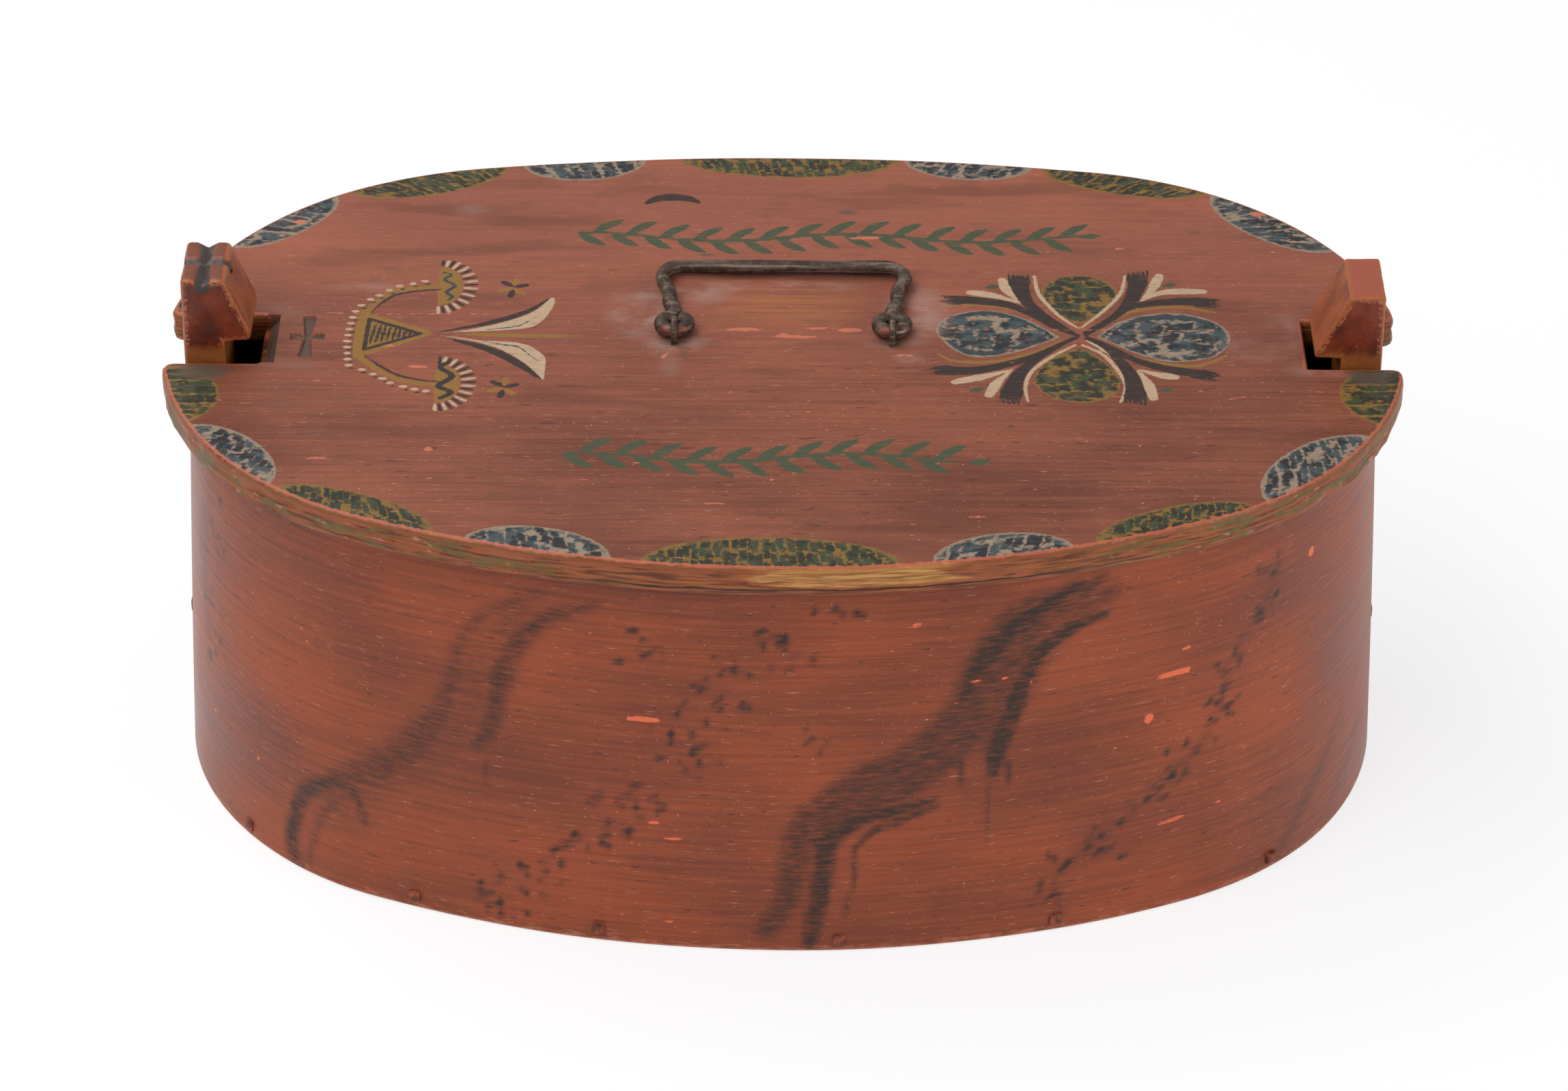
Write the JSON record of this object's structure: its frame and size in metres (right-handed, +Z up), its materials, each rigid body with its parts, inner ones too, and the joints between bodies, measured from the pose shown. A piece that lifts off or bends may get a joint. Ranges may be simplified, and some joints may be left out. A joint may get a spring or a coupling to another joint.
{
  "type": "bentwood box",
  "caption": "Oval bentwood storage box with a flat notched lid that lifts off between two hooked end posts, and a swinging wire bail on the lid.",
  "frame": {"origin": "middle of the bottom, on the surface that the box stands on", "axes": "+X along the length, left post at -X; -Y is the front that the picture shows; +Z up"},
  "size_m": [0.3744, 0.2396, 0.1658],
  "materials": {
    "painted_wood": "worn red-brown paint with dark marbling",
    "bare_wood": "bare aged pine",
    "peg_wood": "bare aged wood, rubbed with paint",
    "post_wood": "worn red-brown paint, polished by hands",
    "root": "split root, painted over",
    "lid_wood": "worn red-brown paint with folk ornament",
    "iron": "forged wire, dark, rubbed bright in streaks"
  },
  "bodies": {
    "box": {"side_band": "painted_wood", "bottom_board": "bare_wood", "bottom_pegs": "peg_wood", "left_post": "post_wood", "right_post": "post_wood", "left_post_pegs": "peg_wood", "right_post_pegs": "peg_wood", "lap_lacing": "root"},
    "lid": {"lid_board": "lid_wood", "left_staple": "iron", "right_staple": "iron"},
    "bail": {"bail_handle": "iron"}
  },
  "joints": [
    {"name": "lid_lift", "type": "slide", "parent": "box", "child": "lid", "axis": [0, 0, 1], "range_m": [0, 0.15]},
    {"name": "bail_swing", "type": "hinge", "parent": "lid", "child": "bail", "pos_m": [0, 0.0065, 0.1414], "axis": [1, 0, 0], "range_deg": [0, 180]}
  ]
}
